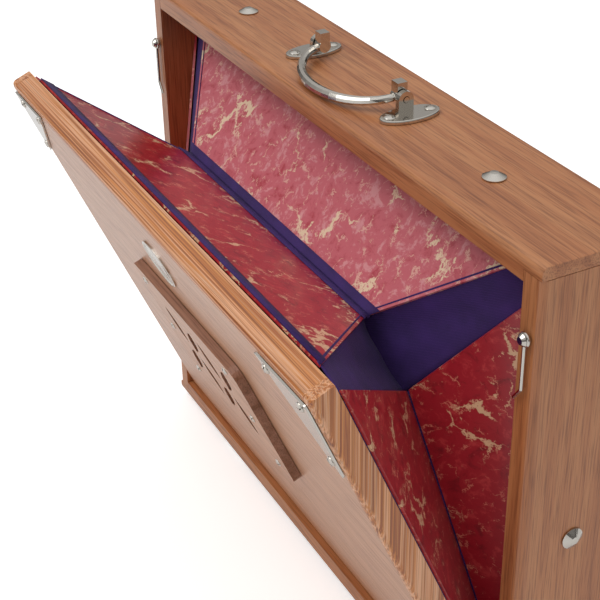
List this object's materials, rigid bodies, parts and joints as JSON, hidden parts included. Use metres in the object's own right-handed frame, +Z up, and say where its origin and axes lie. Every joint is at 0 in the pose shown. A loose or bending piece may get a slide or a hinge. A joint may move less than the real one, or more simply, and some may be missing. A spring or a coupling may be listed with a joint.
{
  "type": "shruti box",
  "caption": "Hand-pumped shruti box in a wooden case, pump board open on its card-ribbed bellows, with a drop handle on top and pallet keys at the back.",
  "frame": {"origin": "centre of the opened part's outline, on the plane its feet stand on", "axes": "+Z up, -Y towards the pump board's front, +X to the right of a viewer who faces the pump board"},
  "size_m": [0.4056, 0.1628, 0.3195],
  "materials": {
    "bellows_cloth": "matt",
    "brass": "satin",
    "grille_walnut": "satin lacquer",
    "leather": "suede",
    "marbled_card": "glazed marbled paper over card",
    "nickel": "polished",
    "plain_wood": "bare",
    "pump_veneer": "satin lacquered veneer",
    "steel": "plain",
    "striped_lipping": "satin lacquer",
    "walnut": "satin lacquer"
  },
  "bodies": {
    "case": {"bottom_strip": "leather", "case_bottom": "walnut", "case_left": "walnut", "case_right": "walnut", "case_top": "walnut", "cup_screw_left": "nickel", "cup_screw_right": "nickel", "cup_screw_top_left": "nickel", "cup_screw_top_right": "nickel", "foot_back_left": "nickel", "foot_back_right": "nickel", "foot_front_left": "nickel", "foot_front_right": "nickel", "gusset_left": "bellows_cloth", "gusset_right": "bellows_cloth", "handle_plate_left": "nickel", "handle_plate_right": "nickel", "hinge_case_leaf_left": "steel", "hinge_case_leaf_right": "steel", "hook_screw_left": "nickel", "hook_screw_right": "nickel", "key_axle": "steel", "partition": "plain_wood", "reed_board": "plain_wood", "reed_chamber_frame": "plain_wood", "reed_plate": "brass", "reservoir_cloth": "bellows_cloth", "reservoir_spring": "steel"},
    "pump": {"corner_plate_left": "nickel", "corner_plate_right": "nickel", "grille_block": "grille_walnut", "hinge_pump_leaf_left": "steel", "hinge_pump_leaf_right": "steel", "pump_lipping": "striped_lipping", "pump_panel": "pump_veneer"},
    "intake_valve": {"intake_flap": "leather"},
    "transfer_valve": {"transfer_flap": "leather"},
    "bail": {"handle_bail": "nickel"},
    "reservoir": {"reservoir_board": "plain_wood"},
    "rib_top_inner": {"rib_top_inner": "marbled_card"},
    "rib_top_outer": {"rib_top_outer": "marbled_card"},
    "rib_right_inner": {"rib_right_inner": "marbled_card"},
    "rib_right_outer": {"rib_right_outer": "marbled_card"},
    "rib_left_inner": {"rib_left_inner": "marbled_card"},
    "rib_left_outer": {"rib_left_outer": "marbled_card"},
    "hook_left": {"hook_left": "nickel"},
    "hook_right": {"hook_right": "nickel"},
    "key_01": {"key_01": "plain_wood"},
    "key_02": {"key_02": "plain_wood"},
    "key_03": {"key_03": "plain_wood"},
    "key_04": {"key_04": "plain_wood"},
    "key_05": {"key_05": "plain_wood"},
    "key_06": {"key_06": "plain_wood"},
    "key_07": {"key_07": "plain_wood"},
    "key_08": {"key_08": "plain_wood"},
    "key_09": {"key_09": "plain_wood"},
    "key_10": {"key_10": "plain_wood"},
    "key_11": {"key_11": "plain_wood"},
    "key_12": {"key_12": "plain_wood"},
    "key_13": {"key_13": "plain_wood"}
  },
  "joints": [
    {"name": "pump_hinge", "type": "hinge", "parent": "case", "child": "pump", "pos_m": [0, 0.03601, 0.0187], "axis": [1, 0, 0], "range_deg": [-22.4, 0], "deforming": ["gusset_left", "gusset_right", "bottom_strip"]},
    {"name": "rib_top_inner_fold", "type": "hinge", "parent": "case", "child": "rib_top_inner", "pos_m": [0, 0.04036, 0.2905], "axis": [1, 0, 0], "range_deg": [0, 39.51]},
    {"name": "rib_top_outer_fold", "type": "hinge", "parent": "pump", "child": "rib_top_outer", "pos_m": [0, -0.06863, 0.26955], "axis": [1, 0, 0], "range_deg": [-38.91, 0]},
    {"name": "rib_right_inner_fold", "type": "hinge", "parent": "case", "child": "rib_right_inner", "pos_m": [0.186, 0.04036, 0.00513], "axis": [0, 0, 1], "range_deg": [-34.41, 0]},
    {"name": "rib_right_outer_fold", "type": "hinge", "parent": "pump", "child": "rib_right_outer", "pos_m": [0.186, 0.04036, 0.00513], "axis": [0, -0.3811, 0.9245], "range_deg": [0, 34.41]},
    {"name": "rib_left_inner_fold", "type": "hinge", "parent": "case", "child": "rib_left_inner", "pos_m": [-0.186, 0.04036, 0.00513], "axis": [0, 0, 1], "range_deg": [0, 34.41]},
    {"name": "rib_left_outer_fold", "type": "hinge", "parent": "pump", "child": "rib_left_outer", "pos_m": [-0.186, 0.04036, 0.00513], "axis": [0, -0.3811, 0.9245], "range_deg": [-34.41, 0]},
    {"name": "intake_flap_hinge", "type": "hinge", "parent": "pump", "child": "intake_valve", "pos_m": [0, -0.03452, 0.18681], "axis": [1, 0, 0], "range_deg": [0, 5]},
    {"name": "transfer_flap_hinge", "type": "hinge", "parent": "case", "child": "transfer_valve", "pos_m": [0, 0.05046, 0.1095], "axis": [1, 0, 0], "range_deg": [0, 7], "stiffness_Nm_per_rad": 0.004},
    {"name": "bail_hinge", "type": "hinge", "parent": "case", "child": "bail", "pos_m": [0, 0.04791, 0.312], "axis": [-1, 0, 0], "range_deg": [0, 100]},
    {"name": "hook_left_pivot", "type": "hinge", "parent": "case", "child": "hook_left", "pos_m": [-0.194, 0.01461, 0.2685], "axis": [0, 1, 0], "range_deg": [-100, 100]},
    {"name": "hook_right_pivot", "type": "hinge", "parent": "case", "child": "hook_right", "pos_m": [0.194, 0.01461, 0.2685], "axis": [0, 1, 0], "range_deg": [-100, 100]},
    {"name": "reservoir_hinge", "type": "hinge", "parent": "case", "child": "reservoir", "pos_m": [0, 0.06141, 0.0205], "axis": [-1, 0, 0], "range_deg": [0, 5.5], "stiffness_Nm_per_rad": 4, "deforming": ["reservoir_cloth", "reservoir_spring"]},
    {"name": "key_01_hinge", "type": "hinge", "parent": "case", "child": "key_01", "pos_m": [-0.144, 0.06991, 0.2125], "axis": [-1, 0, 0], "range_deg": [0, 12]},
    {"name": "key_02_hinge", "type": "hinge", "parent": "case", "child": "key_02", "pos_m": [-0.12, 0.06991, 0.2125], "axis": [-1, 0, 0], "range_deg": [0, 12]},
    {"name": "key_03_hinge", "type": "hinge", "parent": "case", "child": "key_03", "pos_m": [-0.096, 0.06991, 0.2125], "axis": [-1, 0, 0], "range_deg": [0, 12]},
    {"name": "key_04_hinge", "type": "hinge", "parent": "case", "child": "key_04", "pos_m": [-0.072, 0.06991, 0.2125], "axis": [-1, 0, 0], "range_deg": [0, 12]},
    {"name": "key_05_hinge", "type": "hinge", "parent": "case", "child": "key_05", "pos_m": [-0.048, 0.06991, 0.2125], "axis": [-1, 0, 0], "range_deg": [0, 12]},
    {"name": "key_06_hinge", "type": "hinge", "parent": "case", "child": "key_06", "pos_m": [-0.024, 0.06991, 0.2125], "axis": [-1, 0, 0], "range_deg": [0, 12]},
    {"name": "key_07_hinge", "type": "hinge", "parent": "case", "child": "key_07", "pos_m": [0, 0.06991, 0.2125], "axis": [-1, 0, 0], "range_deg": [0, 12]},
    {"name": "key_08_hinge", "type": "hinge", "parent": "case", "child": "key_08", "pos_m": [0.024, 0.06991, 0.2125], "axis": [-1, 0, 0], "range_deg": [0, 12]},
    {"name": "key_09_hinge", "type": "hinge", "parent": "case", "child": "key_09", "pos_m": [0.048, 0.06991, 0.2125], "axis": [-1, 0, 0], "range_deg": [0, 12]},
    {"name": "key_10_hinge", "type": "hinge", "parent": "case", "child": "key_10", "pos_m": [0.072, 0.06991, 0.2125], "axis": [-1, 0, 0], "range_deg": [0, 12]},
    {"name": "key_11_hinge", "type": "hinge", "parent": "case", "child": "key_11", "pos_m": [0.096, 0.06991, 0.2125], "axis": [-1, 0, 0], "range_deg": [0, 12]},
    {"name": "key_12_hinge", "type": "hinge", "parent": "case", "child": "key_12", "pos_m": [0.12, 0.06991, 0.2125], "axis": [-1, 0, 0], "range_deg": [0, 12]},
    {"name": "key_13_hinge", "type": "hinge", "parent": "case", "child": "key_13", "pos_m": [0.144, 0.06991, 0.2125], "axis": [-1, 0, 0], "range_deg": [0, 12]}
  ],
  "couplings": [
    {"joint": "rib_top_inner_fold", "follows": "pump_hinge", "ratio": -1.7634},
    {"joint": "rib_top_outer_fold", "follows": "pump_hinge", "ratio": 1.7366},
    {"joint": "rib_right_inner_fold", "follows": "pump_hinge", "ratio": 1.5357},
    {"joint": "rib_right_outer_fold", "follows": "pump_hinge", "ratio": -1.5357},
    {"joint": "rib_left_inner_fold", "follows": "pump_hinge", "ratio": -1.5357},
    {"joint": "rib_left_outer_fold", "follows": "pump_hinge", "ratio": 1.5357}
  ]
}
